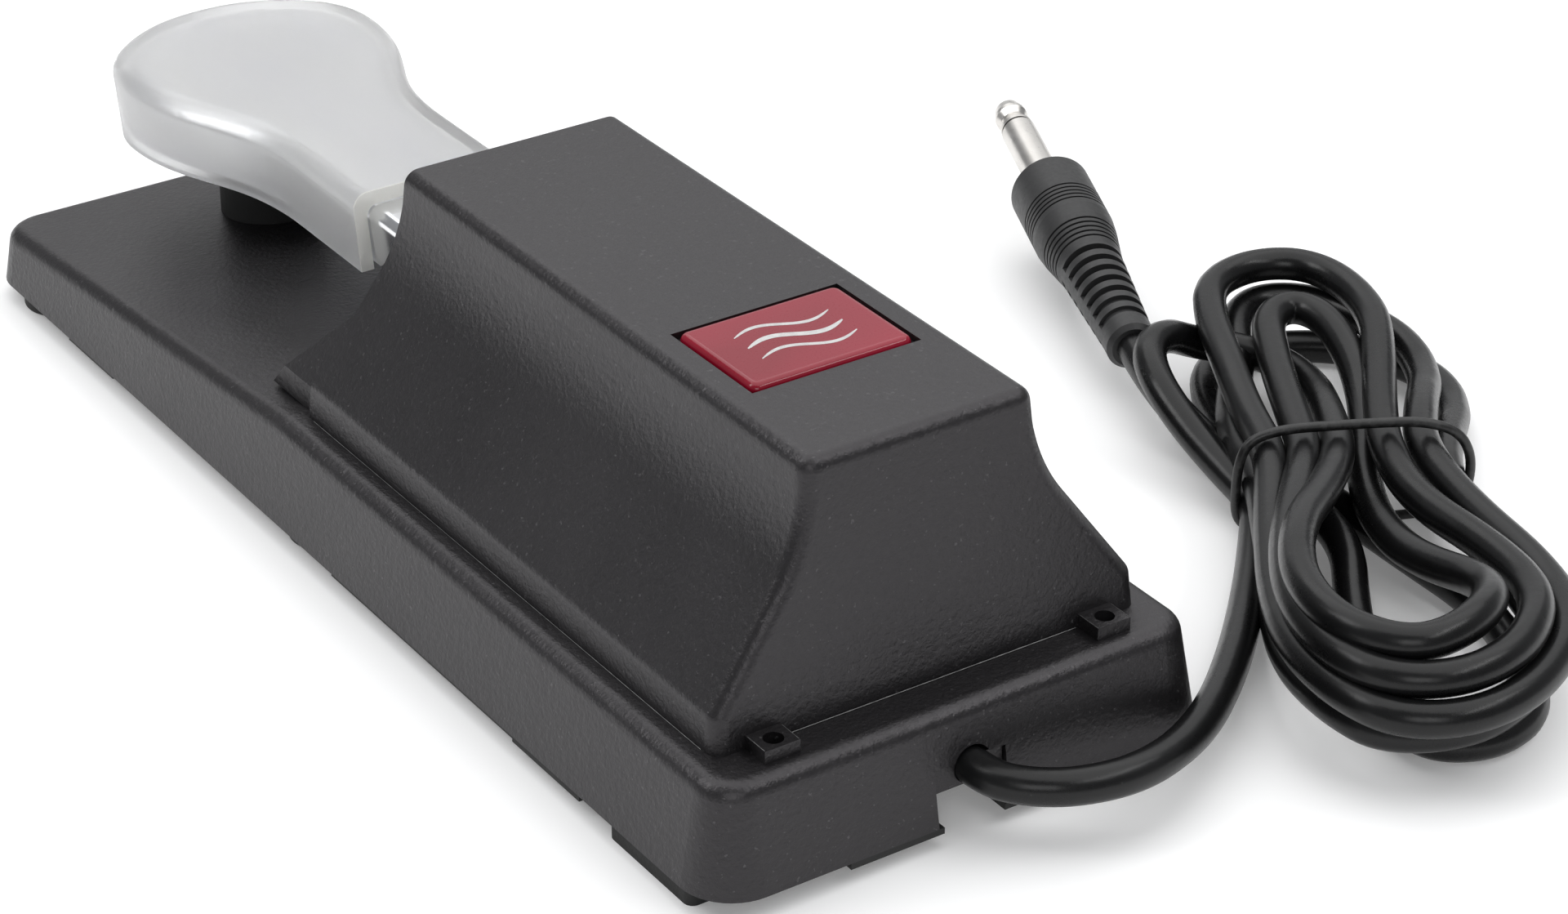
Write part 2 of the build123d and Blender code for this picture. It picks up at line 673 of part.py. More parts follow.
def plug_tip():
    """The contact nose: a cone, a neck groove and a rounded ball."""
    outline = [(0, TIP_AT), (NOSE_R, TIP_AT), (NOSE_R, TIP_AT + 0.8), (2.3, TIP_AT + 2.6)]
    outline += [(2.3, TIP_AT + 3.1), (NOSE_R, TIP_AT + 4.4), (NOSE_R, TIP_AT + 5.2)]
    outline += [(2.5, TIP_AT + 7.2), (1.2, TIP_END - 0.2), (0, TIP_END)]
    return plug_place() * turned(outline)


NODES = [
    base_shell, bottom_plate, plate_screws, rear_feet, front_feet, middle_feet, edge_pads,
    upper_housing, housing_screws, mouth_apron, badge,
    pedal_cover, pedal_lever, pivot_axle, axle_clips, pivot_bracket, bracket_screws, pivot_bushes,
    return_spring, spring_seat, spring_guide, stop_bridge, stop_screws, stop_pad,
    toe_bumper, bumper_screw,
    switch_body, switch_plunger, switch_screws, terminal_lugs, lead_wires,
    cord_clamp, clamp_screws, cord_inner, cord_lead, cord_hank, cord_tail, cord_tie,
    plug_barrel, plug_sleeve, plug_insulator, plug_tip,
]


def main():
    os.makedirs("parts", exist_ok=True)
    for make in NODES:
        shape = make()
        if isinstance(shape, list):
            shape = Compound(children=[piece for piece in shape])
        export_step(shape, os.path.join("parts", make.__name__ + ".step"))
        print(make.__name__)


main()
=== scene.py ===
import bpy
import bmesh
import math
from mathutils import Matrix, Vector


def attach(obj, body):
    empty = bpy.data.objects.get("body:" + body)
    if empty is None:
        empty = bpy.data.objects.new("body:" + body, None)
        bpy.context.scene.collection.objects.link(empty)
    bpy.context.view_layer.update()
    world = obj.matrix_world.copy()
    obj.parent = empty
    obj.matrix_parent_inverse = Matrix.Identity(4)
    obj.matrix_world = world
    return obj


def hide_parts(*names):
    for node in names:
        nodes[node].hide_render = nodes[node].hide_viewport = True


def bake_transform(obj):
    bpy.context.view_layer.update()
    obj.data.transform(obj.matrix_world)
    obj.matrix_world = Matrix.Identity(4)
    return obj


# The looks of a sustain pedal: moulded black body, frosted toe cover over a chromed lever,
# domed badge, and a cord tied in a hank that ends in a jack plug. Metres throughout.

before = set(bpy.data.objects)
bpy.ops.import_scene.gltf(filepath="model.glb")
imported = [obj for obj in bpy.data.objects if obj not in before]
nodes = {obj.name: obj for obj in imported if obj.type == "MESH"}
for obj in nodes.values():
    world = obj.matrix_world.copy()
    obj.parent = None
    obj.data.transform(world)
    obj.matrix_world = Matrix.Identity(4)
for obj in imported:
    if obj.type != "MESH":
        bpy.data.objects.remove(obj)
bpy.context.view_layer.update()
MM = 0.001


# ---------------------------------------------------------------- camera

def make_camera():
    """A long lens, above and behind the object's cord end."""
    data = bpy.data.cameras.new("camera")
    data.lens = 93.4
    data.sensor_width = 36.0
    data.clip_start = 0.01
    data.clip_end = 20.0
    camera = bpy.data.objects.new("camera", data)
    bpy.context.scene.collection.objects.link(camera)
    camera.location = (0.2840, 0.4929, 0.3254)
    aim = Vector((-0.03467, 0.01732, 0.0033)) - camera.location
    camera.rotation_mode = "QUATERNION"
    camera.rotation_quaternion = aim.to_track_quat("-Z", "Y")
    bpy.context.scene.camera = camera


make_camera()


# ---------------------------------------------------------------- cord route

CORD_D = 5.6
EXIT = (-0.5, 113.5, 10.6)
HANK_CENTRE = (-100.7, 80.3)
HANK_TURN = math.radians(25.5)
PLUG_END = (-98.0, 27.3, 9.0)
PLUG_YAW = math.radians(22.0)
PLUG_DIP = math.radians(-4.0)
PLUG_STRAIGHT = 7.0
TIE_WIRE_R = 0.8
CURVE_STEPS = 8
BEVEL_STEPS = 6

LEAD_ROUTE = [
    EXIT,
    (-0.5, 119.0, 10.6),
    (-3.6, 123.4, 10.4),
    (-9.6, 126.8, 9.9),
    (-18.5, 128.2, 9.3),
    (-27.5, 126.2, 8.6),
    (-37.5, 121.2, 7.8),
    (-48.5, 112.6, 6.4),
    (-60.5, 101.6, 5.0),
    (-72.5, 89.5, 3.8),
    (-82.5, 78.6, 3.2),
]

# A lobe of the hank: how far it reaches from the waist (+ is the lower side), the height of
# its end, then for each of its two legs the offsets across, the height near the waist and
# the height halfway out, and between them the offsets across of its round end.
# After each lobe comes the waist point that it returns to: (across, height).
STATIONS = (0.24, 0.48, 0.70, 0.90)
WAIST_IN = (-15.4, 4.6)
FIRST_LOBE = [
    (-9.5, -19.4, 6.8), (-18.5, -23.4, 10.0), (-27.4, -26.2, 13.4), (-35.2, -25.8, 15.0),
    (-40.8, -21.4, 14.4), (-44.6, -15.4, 10.4), (-44.0, -9.0, 9.2), (-40.0, -2.0, 8.4),
    (-31.0, 1.2, 8.6), (-18.0, 0.0, 11.0),
]
FIRST_WAIST = (-2.6, 13.6)
LOBES = [
    (67.1, 20.6, (-9.5, -18.5, -22.4, -20.5), 16.6, 20.0, (-13.5, -6.5),
     (-1.0, 0.2, 7.0, 2.6), 9.6, 12.4, (1.2, 8.4)),
    (-46.4, 14.4, (5.0, 7.4, 8.0, 6.4), 8.9, 10.4, (3.4, -0.6),
     (-7.4, -6.6, -5.4, -4.0), 13.8, 14.2, (-8.2, 13.6)),
    (71.7, 17.2, (-14.6, -20.8, -23.2, -20.6), 15.4, 16.4, (-14.0, -3.0),
     (4.4, 11.4, 13.8, 7.4), 13.8, 14.6, (4.4, 13.6)),
    (-60.3, 15.6, (7.6, 11.6, 14.2, 11.6), 13.9, 14.8, (6.0, -3.0),
     (-14.4, -14.0, -13.4, -11.0), 14.0, 15.4, (-13.6, 13.6)),
    (75.6, 13.0, (-18.4, -22.4, -24.0, -20.8), 11.4, 10.8, (-14.0, -2.0),
     (12.8, 19.0, 18.4, 9.4), 12.4, 11.4, (10.2, 13.0)),
    (-58.9, 9.6, (14.4, 19.8, 20.0, 14.0), 12.4, 9.4, (6.0, -1.6),
     (-15.8, -13.0, -8.4, -6.6), 8.8, 6.4, (-15.2, 9.4)),
    (71.2, 7.8, (-17.6, -21.4, -23.4, -20.4), 6.2, 5.8, (-15.0, -2.0),
     (14.0, 17.0, 17.0, 8.0), 7.2, 6.0, (14.6, 8.0)),
    (-54.0, 2.9, (18.8, 24.6, 25.6, 19.6), 6.6, 3.6, (9.0, -4.0),
     (-8.6, -13.4, -14.6, -12.0), 3.6, 2.9, (-3.6, 4.4)),
    (67.3, 2.9, (3.2, 11.4, 12.6, 11.2), 4.2, 3.4, (3.4, -6.4),
     (-5.4, -9.0, -10.6, -10.2), 6.6, 4.4, (-9.4, 5.6)),
]
TAIL_UVZ = [(-10.0, -12.8, 4.2), (-20.0, -17.4, 3.8), (-29.5, -21.8, 5.8)]


def to_hank(u, v, z):
    """A point of the hank's own frame in the pedal's frame: u is along it, v is across."""
    x = HANK_CENTRE[0] + u * math.sin(HANK_TURN) - v * math.cos(HANK_TURN)
    y = HANK_CENTRE[1] + u * math.cos(HANK_TURN) + v * math.sin(HANK_TURN)
    return x, y, z


def leg(reach, across, near_z, mid_z, tip_z):
    """Four points from the waist out to a lobe's round end."""
    heights = (near_z, mid_z, (mid_z + tip_z) / 2, tip_z)
    return [(reach * f, v, z) for f, v, z in zip(STATIONS, across, heights)]


def lobe(reach, tip_z, out, out_near, out_mid, ends, back, back_near, back_mid, waist):
    """One half turn of the hank and the waist point after it."""
    points = leg(reach, out, out_near, out_mid, tip_z)
    points += [(reach * 1.01, v, tip_z) for v in ends]
    points += leg(reach, back, back_near, back_mid, tip_z)[::-1]
    return points + [(0.0,) + waist]


def plug_way():
    """The direction from the cord's end of the plug to its tip."""
    flat = math.cos(PLUG_DIP)
    return Vector((-flat * math.sin(PLUG_YAW), -flat * math.cos(PLUG_YAW), -math.sin(PLUG_DIP)))


def cord_points():
    """The whole cord, from the clamp to the plug, in millimetres."""
    hank = [(0.0,) + WAIST_IN] + FIRST_LOBE + [(0.0,) + FIRST_WAIST]
    for row in LOBES:
        hank += lobe(*row)
    points = list(LEAD_ROUTE)
    points += [to_hank(*point) for point in hank + TAIL_UVZ]
    end = Vector(PLUG_END)
    return points + [tuple(end - PLUG_STRAIGHT * plug_way()), tuple(end)]


def make_curve(name, points, radius, cyclic=False):
    """A round tube along one smooth NURBS spline. The radius is on its points, so that the
    curve's own box is as large as the tube."""
    data = bpy.data.curves.new(name, "CURVE")
    data.dimensions = "3D"
    spline = data.splines.new("NURBS")
    spline.points.add(len(points) - 1)
    for target, point in zip(spline.points, points):
        target.co = (point[0] * MM, point[1] * MM, point[2] * MM, 1.0)
        target.radius = radius * MM
    spline.order_u = 3
    spline.use_cyclic_u = cyclic
    spline.use_endpoint_u = not cyclic
    spline.resolution_u = CURVE_STEPS
    data.resolution_u = CURVE_STEPS
    data.bevel_depth = 1.0
    data.bevel_resolution = BEVEL_STEPS
    data.use_fill_caps = True
    curve = bpy.data.objects.new(name, data)
    bpy.context.scene.collection.objects.link(curve)
    return curve


cord = make_curve("cord", cord_points(), CORD_D / 2)
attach(cord, "base")
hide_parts("cord_lead", "cord_hank", "cord_tail")


TIE_LOOP = [
    (-18.9, 2.8), (-19.3, 7.0), (-19.1, 12.5), (-17.6, 16.4), (-12.5, 17.9), (-4.0, 17.9),
    (4.0, 17.9), (10.5, 17.7), (16.2, 15.6), (18.7, 11.2), (18.9, 6.0), (17.6, 2.0),
    (12.0, 0.85), (0.0, 0.85), (-12.0, 0.85), (-17.2, 0.95),
]
TIE_WANDER = 0.25
tie_points = [to_hank(TIE_WANDER * math.sin(i), v, z) for i, (v, z) in enumerate(TIE_LOOP)]
tie = make_curve("tie_wire", tie_points, TIE_WIRE_R, cyclic=True)
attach(tie, "base")
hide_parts("cord_tie")


# ---------------------------------------------------------------- return spring


def make_spring():
    """The coil spring, a copy of the CAD spring's mesh with its place baked in: its foot on the base,
    its head under the lever.
    """
    mesh = nodes["return_spring"].data.copy()
    mesh.name = "spring_coil"
    spring = bpy.data.objects.new("spring_coil", mesh)
    bpy.context.scene.collection.objects.link(spring)
    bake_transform(spring)
    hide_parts("return_spring")
    return spring


coil = make_spring()


# ---------------------------------------------------------------- material helpers

class Graph:
    """A node-based material built up one node at a time, in row-frame metres."""

    def __init__(self, name):
        self.material = bpy.data.materials.new(name)
        self.material.use_nodes = True
        self.tree = self.material.node_tree
        self.shader = self.tree.nodes["Principled BSDF"]
        self.place = self.tree.nodes.new("ShaderNodeTexCoord").outputs["Object"]

    def node(self, kind, **inputs):
        made = self.tree.nodes.new(kind)
        for key, value in inputs.items():
            self.feed(made.inputs[key], value)
        return made

    def feed(self, socket, value):
        if isinstance(value, bpy.types.NodeSocket):
            self.tree.links.new(value, socket)
        else:
            socket.default_value = value

    def noise(self, scale, detail=3.0, rough=0.55, place=None):
        made = self.node("ShaderNodeTexNoise", Scale=scale, Detail=detail, Roughness=rough)
        self.feed(made.inputs["Vector"], place or self.place)
        return made.outputs["Fac"]

    def stretched(self, scale):
        """The place, scaled along each axis."""
        made = self.node("ShaderNodeMapping", Scale=scale)
        self.feed(made.inputs["Vector"], self.place)
        return made.outputs["Vector"]

    def steps(self, value, stops):
        """A value turned to a colour or a grey by stops of (position, colour or grey)."""
        made = self.tree.nodes.new("ShaderNodeValToRGB")
        ramp = made.color_ramp
        while len(ramp.elements) < len(stops):
            ramp.elements.new(0.5)
        for element, (position, colour) in zip(ramp.elements, stops):
            element.position = position
            grey = isinstance(colour, (int, float))
            element.color = (colour, colour, colour, 1) if grey else (*colour, 1)
        self.feed(made.inputs["Fac"], value)
        return made.outputs["Color"]

    def maths(self, operation, a, b=0.0):
        made = self.tree.nodes.new("ShaderNodeMath")
        made.operation = operation
        self.feed(made.inputs[0], a)
        self.feed(made.inputs[1], b)
        return made.outputs[0]

    def blend(self, share, a, b):
        """Colour a turned towards colour b by share."""
        made = self.tree.nodes.new("ShaderNodeMix")
        made.data_type = "RGBA"
        self.feed(made.inputs[0], share)
        self.feed(made.inputs[6], a if isinstance(a, bpy.types.NodeSocket) else (*a, 1))
        self.feed(made.inputs[7], b if isinstance(b, bpy.types.NodeSocket) else (*b, 1))
        return made.outputs[2]

    def axis(self, name):
        made = self.node("ShaderNodeSeparateXYZ")
        self.feed(made.inputs[0], self.place)
        return made.outputs[name]

    def bump(self, height, distance, strength=1.0, normal=None):
        made = self.node("ShaderNodeBump", Strength=strength, Distance=distance)
        self.feed(made.inputs["Height"], height)
        if normal:
            self.feed(made.inputs["Normal"], normal)
        return made.outputs["Normal"]

    def set(self, **values):
        """Shader sockets by name, with _ for a space."""
        for key, value in values.items():
            self.feed(self.shader.inputs[key.replace("_", " ")], value)
        return self


def coat(piece, graph):
    """Gives an object's mesh or curve one material."""
    piece.data.materials.clear()
    piece.data.materials.append(graph.material)


def paint(graph, *names):
    """Gives CAD nodes one material."""
    for name in names:
        coat(nodes[name], graph)


# ---------------------------------------------------------------- materials

def body_plastic():
    """Charcoal moulding with a fine spark-erosion grain, and bright flecks painted into its colour as
    glints.
    """
    g = Graph("body_plastic")
    grain = g.noise(1300, 3, 0.6)
    pits = g.noise(700, 3, 0.5)
    cloud = g.noise(26, 4, 0.6)
    # Painted glints: bright flecks in the base colour stand in for the grain's sparkles of light.
    painted_glints = g.steps(g.noise(1500, 2, 0.5), [(0.0, 0.0), (0.67, 0.0), (0.73, 1.0)])
    tone = g.steps(cloud, [(0.3, (0.0062, 0.0058, 0.0062)), (0.7, (0.0095, 0.0089, 0.0095))])
    tone = g.blend(g.maths("MULTIPLY", painted_glints, 0.6), tone, (0.075, 0.073, 0.075))
    height = g.maths("ADD", grain, g.maths("MULTIPLY", pits, 0.8))
    both = g.maths("ADD", g.maths("MULTIPLY", grain, 0.5), g.maths("MULTIPLY", cloud, 0.5))
    rough = g.steps(both, [(0.35, 0.33), (0.65, 0.43)])
    g.set(Base_Color=tone, Roughness=rough, Normal=g.bump(height, 0.00013, 0.75))
    g.set(Specular_IOR_Level=0.55, Specular_Tint=(1.0, 0.96, 1.0, 1.0))
    return g


def moulded_black(name, dark, light, rough, grain_size=900, depth=0.00004):
    """A plain black moulding: faint mottling, fine grain and varied gloss."""
    g = Graph(name)
    cloud = g.noise(40, 4, 0.6)
    grain = g.noise(grain_size, 3, 0.6)
    g.set(Base_Color=g.steps(cloud, [(0.3, dark), (0.7, light)]))
    g.set(Roughness=g.steps(grain, [(0.3, rough[0]), (0.7, rough[1])]))
    g.set(Normal=g.bump(grain, depth, 0.6))
    return g


def cord_jacket():
    """Soft black PVC, with a dull bloom and the faint ripple of the wires twisted inside."""
    g = Graph("cord_jacket")
    bloom = g.noise(55, 5, 0.65)
    grain = g.noise(1300, 3, 0.6)
    ripple = g.noise(160, 2, 0.5)
    dust = g.steps(g.noise(900, 2, 0.5), [(0.0, 0.0), (0.76, 0.0), (0.80, 1.0)])
    tone = g.steps(bloom, [(0.3, (0.0038, 0.0038, 0.0040)), (0.72, (0.0066, 0.0066, 0.0069))])
    tone = g.blend(g.maths("MULTIPLY", dust, 0.25), tone, (0.09, 0.09, 0.085))
    both = g.maths("ADD", g.maths("MULTIPLY", bloom, 0.6), g.maths("MULTIPLY", grain, 0.4))
    rough = g.steps(both, [(0.35, 0.25), (0.68, 0.34)])
    normal = g.bump(ripple, 0.0003, 0.35)
    g.set(Base_Color=tone, Roughness=rough, Normal=g.bump(grain, 0.00003, 0.5, normal))
    g.set(Specular_IOR_Level=0.32)
    return g


def tie_coat():
    """Thin black coating on wire, with fine scuffs."""
    g = Graph("tie_plastic")
    scuff = g.noise(700, 4, 0.7)
    tone = g.steps(scuff, [(0.45, (0.008, 0.008, 0.008)), (0.80, (0.05, 0.05, 0.05))])
    g.set(Base_Color=tone, Roughness=g.steps(scuff, [(0.3, 0.32), (0.7, 0.55)]))
    g.set(Normal=g.bump(scuff, 0.00008, 0.6))
    return g


COVER_CUT_Y = -0.0336


def cover_frosted():
    """Milky translucent moulding, satin outside, with flow marks; the cut end is painted a paler
    cream as light glowing through it.
    """
    g = Graph("cover_frosted")
    flow = g.noise(1.0, 4, 0.6, g.stretched((60, 14, 60)))
    cloud = g.noise(50, 2, 0.5)
    cut = g.maths("GREATER_THAN", g.axis("Y"), COVER_CUT_Y)
    tone = g.steps(flow, [(0.3, (0.90, 0.90, 0.91)), (0.7, (0.96, 0.96, 0.95))])
    # Painted light: the cut end's colour is turned paler and creamier for light glowing through it.
    tone = g.blend(cut, tone, (0.99, 0.98, 0.91))
    g.set(Base_Color=tone)
    g.set(Roughness=g.steps(cloud, [(0.3, 0.30), (0.75, 0.37)]))
    g.set(Normal=g.bump(g.noise(70, 2, 0.5), 0.00004, 0.2))
    g.set(Transmission_Weight=g.steps(cut, [(0.0, 0.80), (1.0, 0.35)]), IOR=1.36)
    g.set(Subsurface_Weight=0.3, Subsurface_Scale=0.004, Subsurface_Radius=(1.0, 1.0, 0.95))
    return g


def lever_chrome():
    """Polished plating with a faint drawn grain under it."""
    g = Graph("lever_chrome")
    drawn = g.noise(1.0, 3, 0.6, g.stretched((900, 30, 900)))
    haze = g.noise(60, 2, 0.45)
    g.set(Base_Color=g.steps(haze, [(0.3, (0.80, 0.81, 0.83)), (0.7, (0.92, 0.92, 0.93))]))
    g.set(Metallic=1.0, Roughness=g.steps(haze, [(0.2, 0.13), (0.8, 0.26)]))
    g.set(Normal=g.bump(drawn, 0.00001, 0.4))
    return g


def metal(name, dark, light, rough, grain=(700, 60, 700), depth=0.00002):
    """A worked metal with a drawn grain and uneven gloss."""
    g = Graph(name)
    drawn = g.noise(1.0, 3, 0.6, g.stretched(grain))
    haze = g.noise(120, 4, 0.6)
    g.set(Base_Color=g.steps(haze, [(0.3, dark), (0.7, light)]), Metallic=1.0)
    g.set(Roughness=g.steps(drawn, [(0.3, rough[0]), (0.7, rough[1])]))
    g.set(Normal=g.bump(drawn, depth, 0.5))
    return g


def badge_gel():
    """Clear domed gel over a crimson print with a paler sweep and fine flake."""
    g = Graph("badge_gel")
    flake = g.noise(2600, 2, 0.5)
    sweep = g.noise(38, 2, 0.4)
    tone = g.steps(sweep, [(0.35, (0.215, 0.003, 0.015)), (0.65, (0.290, 0.006, 0.025))])
    tone = g.blend(g.steps(flake, [(0.62, 0.0), (0.75, 0.15)]), tone, (0.40, 0.03, 0.055))
    g.set(Base_Color=tone, Roughness=g.steps(flake, [(0.3, 0.26), (0.7, 0.34)]))
    g.set(Coat_Weight=1.0, Coat_Roughness=0.03, Coat_IOR=1.36, Specular_IOR_Level=0.1)
    g.set(Normal=g.bump(g.noise(60, 2, 0.5), 0.0001, 0.15))
    return g


def badge_print():
    """Off-white ink, slightly uneven."""
    g = Graph("badge_print")
    ink = g.noise(700, 3, 0.6)
    g.set(Base_Color=g.steps(ink, [(0.3, (0.50, 0.49, 0.49)), (0.7, (0.60, 0.60, 0.59))]))
    g.set(Roughness=g.steps(ink, [(0.3, 0.22), (0.7, 0.34)]))
    g.set(Normal=g.bump(ink, 0.00002, 0.4))
    return g


def rubber():
    """Matte black rubber with a chalky bloom."""
    g = Graph("foot_rubber")
    bloom = g.noise(150, 5, 0.7)
    grain = g.noise(1600, 3, 0.6)
    g.set(Base_Color=g.steps(bloom, [(0.35, (0.008, 0.008, 0.008)), (0.75, (0.018, 0.018, 0.0175))]))
    g.set(Roughness=g.steps(bloom, [(0.3, 0.62), (0.7, 0.82)]))
    g.set(Normal=g.bump(grain, 0.00008, 0.7))
    return g


def felt():
    """Dense grey felt."""
    g = Graph("stop_felt")
    fibre = g.noise(1400, 5, 0.75)
    tuft = g.noise(260, 3, 0.6)
    both = g.maths("ADD", g.maths("MULTIPLY", fibre, 0.6), g.maths("MULTIPLY", tuft, 0.4))
    g.set(Base_Color=g.steps(both, [(0.3, (0.12, 0.12, 0.12)), (0.7, (0.30, 0.30, 0.29))]))
    g.set(Roughness=g.steps(tuft, [(0.3, 0.86), (0.7, 0.98)]), Sheen_Weight=0.3)
    g.set(Normal=g.bump(both, 0.0003, 0.9))
    return g


def nylon():
    """Natural nylon, slightly waxy."""
    g = Graph("bush_nylon")
    cloud = g.noise(140, 3, 0.6)
    g.set(Base_Color=g.steps(cloud, [(0.3, (0.72, 0.70, 0.64)), (0.7, (0.84, 0.82, 0.77))]))
    g.set(Roughness=g.steps(cloud, [(0.3, 0.34), (0.7, 0.46)]))
    g.set(Normal=g.bump(g.noise(900, 3, 0.6), 0.00003, 0.5))
    return g


def coloured(name, dark, light, rough):
    """A small coloured moulding or insulation."""
    g = Graph(name)
    cloud = g.noise(300, 3, 0.6)
    g.set(Base_Color=g.steps(cloud, [(0.3, dark), (0.7, light)]))
    g.set(Roughness=g.steps(cloud, [(0.3, rough[0]), (0.7, rough[1])]))
    g.set(Normal=g.bump(g.noise(1200, 3, 0.6), 0.00002, 0.5))
    return g


paint(body_plastic(), "base_shell", "upper_housing", "mouth_apron", "cord_clamp")
JACKET = cord_jacket()
coat(cord, JACKET)
paint(JACKET, "cord_inner", "cord_lead", "cord_hank", "cord_tail")
TIE_COAT = tie_coat()
coat(tie, TIE_COAT)
paint(TIE_COAT, "cord_tie")
paint(cover_frosted(), "pedal_cover")
paint(lever_chrome(), "pedal_lever")
paint(badge_gel(), "badge")
paint(rubber(), "rear_feet", "front_feet", "middle_feet", "edge_pads", "toe_bumper")
paint(felt(), "stop_pad")
paint(nylon(), "pivot_bushes", "spring_seat", "spring_guide")
paint(metal("screw_steel", (0.42, 0.41, 0.38), (0.60, 0.59, 0.56), (0.24, 0.40)),
      "plate_screws", "housing_screws", "bracket_screws", "stop_screws", "bumper_screw",
      "switch_screws", "clamp_screws")
paint(metal("bracket_zinc", (0.50, 0.50, 0.48), (0.66, 0.66, 0.65), (0.28, 0.44)),
      "pivot_bracket", "stop_bridge", "axle_clips")
paint(metal("axle_steel", (0.58, 0.58, 0.58), (0.70, 0.70, 0.70), (0.14, 0.26), (60, 900, 900)),
      "pivot_axle")
SPRING_STEEL = metal("spring_steel", (0.34, 0.34, 0.35), (0.52, 0.52, 0.53), (0.24, 0.38),
                     (500, 500, 900))
coat(coil, SPRING_STEEL)
paint(SPRING_STEEL, "return_spring")
paint(metal("terminal_brass", (0.52, 0.38, 0.16), (0.74, 0.58, 0.28), (0.28, 0.42)), "terminal_lugs")
paint(metal("plug_nickel", (0.62, 0.60, 0.57), (0.74, 0.72, 0.69), (0.26, 0.36), (900, 260, 900)),
      "plug_sleeve", "plug_tip")
paint(moulded_black("plate_paint", (0.010, 0.010, 0.0105), (0.016, 0.016, 0.0165), (0.38, 0.52)),
      "bottom_plate")
paint(moulded_black("plug_mould", (0.017, 0.017, 0.0175), (0.024, 0.024, 0.0248), (0.42, 0.54), 1200),
      "plug_barrel")
paint(moulded_black("plug_ring", (0.012, 0.012, 0.012), (0.020, 0.020, 0.020), (0.24, 0.34)),
      "plug_insulator")
paint(moulded_black("switch_case", (0.012, 0.012, 0.013), (0.020, 0.020, 0.022), (0.30, 0.42)),
      "switch_body")
paint(coloured("plunger_plastic", (0.40, 0.020, 0.016), (0.52, 0.036, 0.028), (0.28, 0.38)),
      "switch_plunger")
paint(coloured("wire_insulation", (0.46, 0.050, 0.034), (0.60, 0.076, 0.050), (0.30, 0.42)),
      "lead_wires")


# ---------------------------------------------------------------- badge mark

BADGE_Y = 72.0
BADGE_TOP = 59.6
WAVE_STEPS = 40
WAVE_LENGTH = 16.0
WAVE_HEIGHT = 1.3
PRINT_PROUD = 0.03


def wave_outline(offset, half):
    """Both sides of a wavy stripe, thin at its ends, in the badge's plan."""
    upper, lower = [], []
    for index in range(WAVE_STEPS + 1):
        t = index / WAVE_STEPS
        x = (t - 0.5) * WAVE_LENGTH
        y = BADGE_Y + offset + WAVE_HEIGHT * math.sin(2 * math.pi * t)
        width = half * math.sin(math.pi * min(max(t, 0.01), 0.99)) ** 0.4
        upper.append((x, y + width))
        lower.append((x, y - width))
    return upper, lower


def wave_stripe(bm, offset, half):
    """A stripe of print that stands slightly proud of the gel."""
    sides = wave_outline(offset, half)
    levels = (BADGE_TOP - PRINT_PROUD, BADGE_TOP + PRINT_PROUD)
    rows = [[bm.verts.new((x * MM, y * MM, z * MM)) for x, y in side]
            for z in levels for side in sides]
    order = (0, 1, 3, 2)
    for a, b in zip(order, order[1:] + order[:1]):
        for index in range(WAVE_STEPS):
            bm.faces.new((rows[a][index], rows[a][index + 1], rows[b][index + 1], rows[b][index]))
    for index in (0, WAVE_STEPS):
        bm.faces.new([rows[row][index] for row in order])


def make_badge_mark():
    """A plain device: three wavy stripes."""
    bm = bmesh.new()
    for offset, half in ((-3.6, 0.42), (0.0, 0.62), (3.6, 0.42)):
        wave_stripe(bm, offset, half)
    bmesh.ops.recalc_face_normals(bm, faces=bm.faces)
    mesh = bpy.data.meshes.new("badge_mark")
    bm.to_mesh(mesh)
    bm.free()
    mark = bpy.data.objects.new("badge_mark", mesh)
    bpy.context.scene.collection.objects.link(mark)
    coat(mark, badge_print())
    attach(mark, "base")


make_badge_mark()


# ---------------------------------------------------------------- seam beads with a painted highlight

def highlight_bead(bm, points, radius):
    """A hair-thin uneven bead of four sides along a run of points."""
    rings = []
    for index, (x, y, z) in enumerate(points):
        before, after = points[max(index - 1, 0)], points[min(index + 1, len(points) - 1)]
        way = Vector((after[0] - before[0], after[1] - before[1], 0)).normalized()
        out = Vector((way.y, -way.x, 0))
        size = radius * (0.7 + 0.3 * math.sin(index * 2.3) * math.sin(index * 0.7))
        spots = [out * size, Vector((0, 0, size)), -out * size, Vector((0, 0, -size))]
        rings.append([bm.verts.new((Vector((x, y, z)) + spot) * MM) for spot in spots])
    for ring, after in zip(rings, rings[1:]):
        for side in range(4):
            nxt = (side + 1) % 4
            bm.faces.new((ring[side], ring[nxt], after[nxt], after[side]))
    bm.faces.new(rings[0])
    bm.faces.new(rings[-1][::-1])


def spaced(start, end, count):
    """Points at even steps from start to end."""
    return [tuple(a + (b - a) * i / count for a, b in zip(start, end)) for i in range(count + 1)]


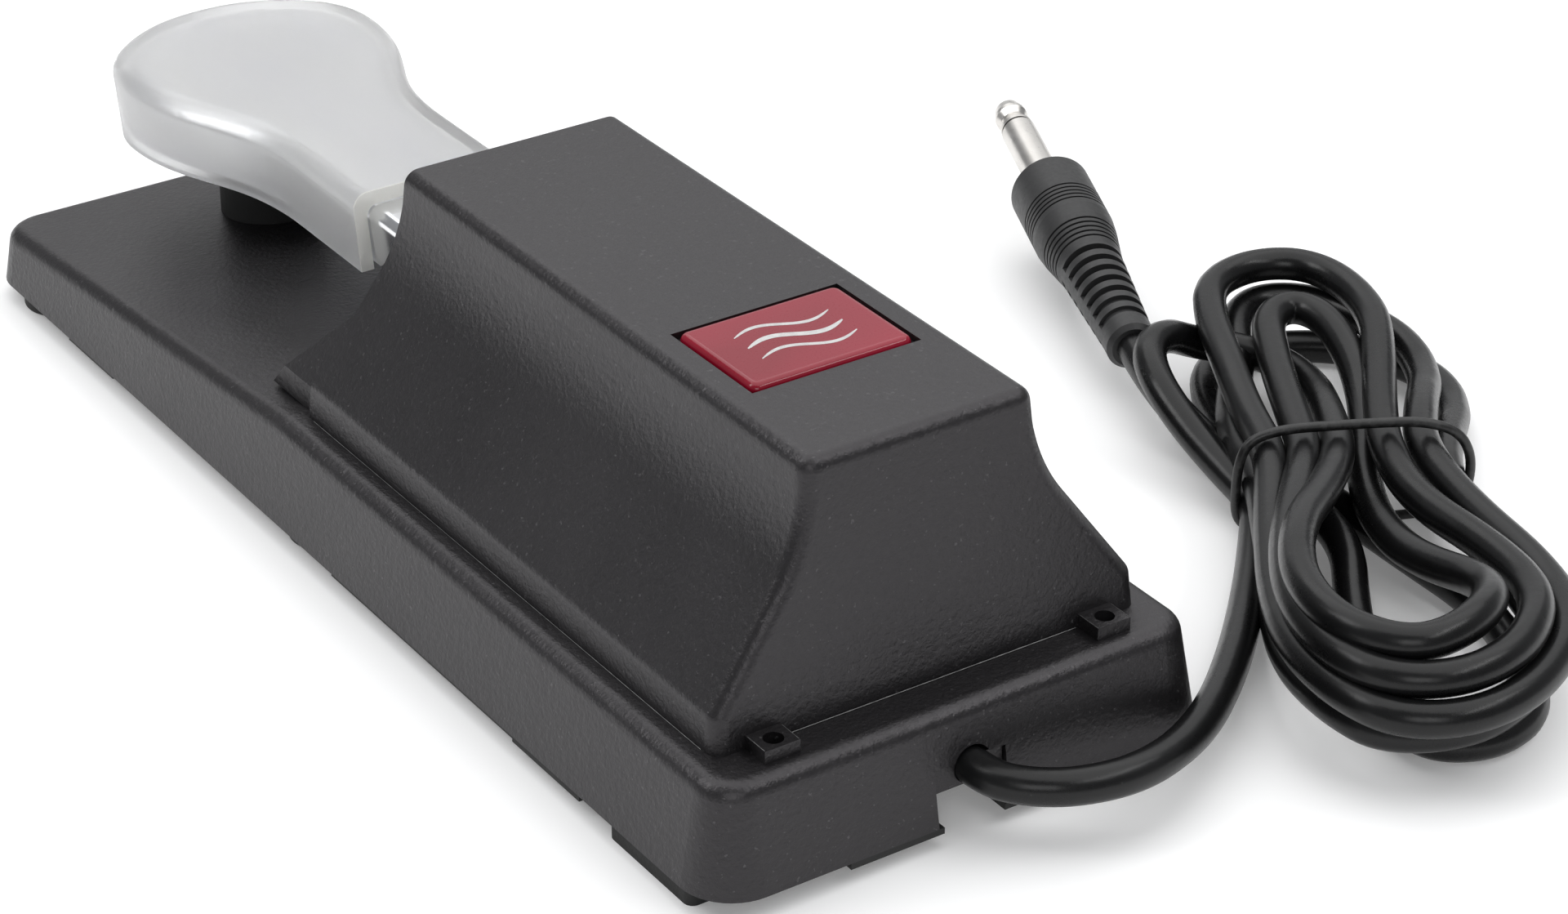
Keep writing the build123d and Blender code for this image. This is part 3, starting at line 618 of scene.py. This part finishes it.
def make_seam_highlight():
    """The seam where the housing stands on the base, as thin beads in a light grey that is a painted
    highlight.
    """
    bm = bmesh.new()
    highlight_bead(bm, spaced((-25.0, 106.42, 20.10), (25.0, 106.42, 20.10), 60), 0.10)
    for side in (-1, 1):
        highlight_bead(bm, spaced((side * 36.36, -8.0, 20.06), (side * 36.36, 103.0, 20.06), 110), 0.07)
        for x in (side * 25.5, side * 31.1):
            highlight_bead(bm, spaced((x, 106.6, 22.12), (x, 110.8, 22.12), 8), 0.06)
    bmesh.ops.recalc_face_normals(bm, faces=bm.faces)
    mesh = bpy.data.meshes.new("housing_seam_highlight")
    bm.to_mesh(mesh)
    bm.free()
    seam_highlight = bpy.data.objects.new("housing_seam_highlight", mesh)
    bpy.context.scene.collection.objects.link(seam_highlight)
    # Painted highlight: the beads' light grey stands in for light caught along the seam's edges.
    coat(seam_highlight, moulded_black("seam_highlight", (0.10, 0.10, 0.10), (0.22, 0.22, 0.22), (0.3, 0.45)))
    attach(seam_highlight, "base")


make_seam_highlight()


# ---------------------------------------------------------------- floor and light

FLOOR_HALF = 4.0


def make_floor():
    """A pale matte sheet that the object stands on, glowing a little to keep it white."""
    bm = bmesh.new()
    bmesh.ops.create_grid(bm, x_segments=2, y_segments=2, size=FLOOR_HALF)
    mesh = bpy.data.meshes.new("floor")
    bm.to_mesh(mesh)
    bm.free()
    floor = bpy.data.objects.new("floor", mesh)
    bpy.context.scene.collection.objects.link(floor)
    g = Graph("floor_paper")
    g.set(Base_Color=g.steps(g.noise(6, 3, 0.5), [(0.3, 0.88), (0.7, 0.90)]), Roughness=0.9)
    g.set(Emission_Color=(1.0, 1.0, 1.0, 1.0), Emission_Strength=0.15)
    mesh.materials.append(g.material)


def make_light(name, place, aim, size, power):
    """A rectangular lamp at a place, turned to an aim."""
    data = bpy.data.lights.new(name, "AREA")
    data.shape = "RECTANGLE"
    data.size, data.size_y = size
    data.energy = power
    light = bpy.data.objects.new(name, data)
    bpy.context.scene.collection.objects.link(light)
    light.location = place
    light.rotation_mode = "QUATERNION"
    light.rotation_quaternion = (Vector(aim) - Vector(place)).to_track_quat("-Z", "Y")


def make_world():
    """A dim, slightly cool surround."""
    world = bpy.data.worlds.new("studio")
    bpy.context.scene.world = world
    world.use_nodes = True
    back = world.node_tree.nodes["Background"]
    back.inputs["Color"].default_value = (0.95, 0.97, 1.0, 1)
    back.inputs["Strength"].default_value = 0.26


make_floor()
make_world()
make_light("top", (-0.25, -0.25, 1.3), (0, 0, 0), (2.0, 2.0), 20.0)
make_light("backdrop", (-1.1, -1.6, 0.85), (0, 0, 0), (2.6, 1.2), 5.6)
make_light("near_side", (0.74, -0.48, 0.90), (0.30, -0.15, 0.0), (0.5, 0.5), 3.8)
make_light("fill", (0.65, 1.25, 0.75), (0, 0, 0.02), (0.9, 0.6), 4.0)
make_light("edge", (-0.55, 0.62, 0.85), (0, 0.1, 0.03), (0.9, 0.12), 2.4)
bpy.context.scene.view_settings.view_transform = "Standard"


bpy.context.view_layer.update()
